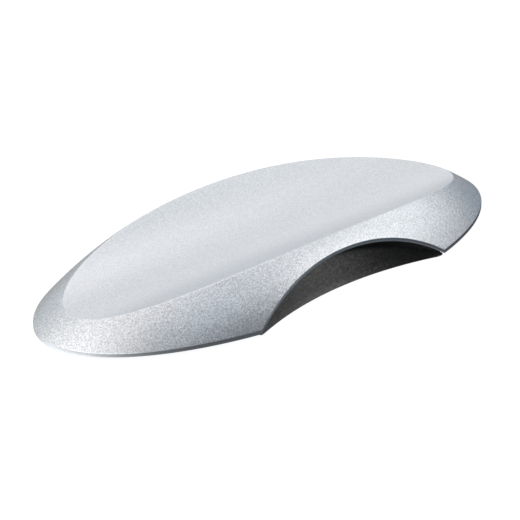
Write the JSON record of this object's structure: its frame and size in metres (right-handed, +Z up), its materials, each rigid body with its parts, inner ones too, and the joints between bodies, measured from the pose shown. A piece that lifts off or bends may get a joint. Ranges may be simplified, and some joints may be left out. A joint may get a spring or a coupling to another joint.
{
  "type": "pen tray",
  "caption": "Low oval silver desk tray with a round-bottomed trough that holds pens, a sloping skirt, a concave notch in the front edge, and a dark base with rubber feet.",
  "frame": {"origin": "on the desk, in the middle of the tray's outline: the feet stand on z = 0", "axes": "+X along the trough to the right end, +Y to the back, away from the front notch, +Z up"},
  "size_m": [0.254, 0.1168, 0.0256],
  "materials": {
    "silver_shell": "satin metallic silver paint over a fine moulded grain",
    "dark_base": "matt charcoal black, fine moulded grain",
    "screw_steel": "zinc-plated steel",
    "foot_rubber": "matt black rubber"
  },
  "bodies": {
    "root": {"tray_shell": "silver_shell", "base_pan": "dark_base", "screw_front_left": "screw_steel", "screw_front_right": "screw_steel", "screw_rear_left": "screw_steel", "screw_rear_right": "screw_steel", "foot_front_left": "foot_rubber", "foot_front_right": "foot_rubber", "foot_rear_left": "foot_rubber", "foot_rear_right": "foot_rubber"}
  },
  "joints": []
}
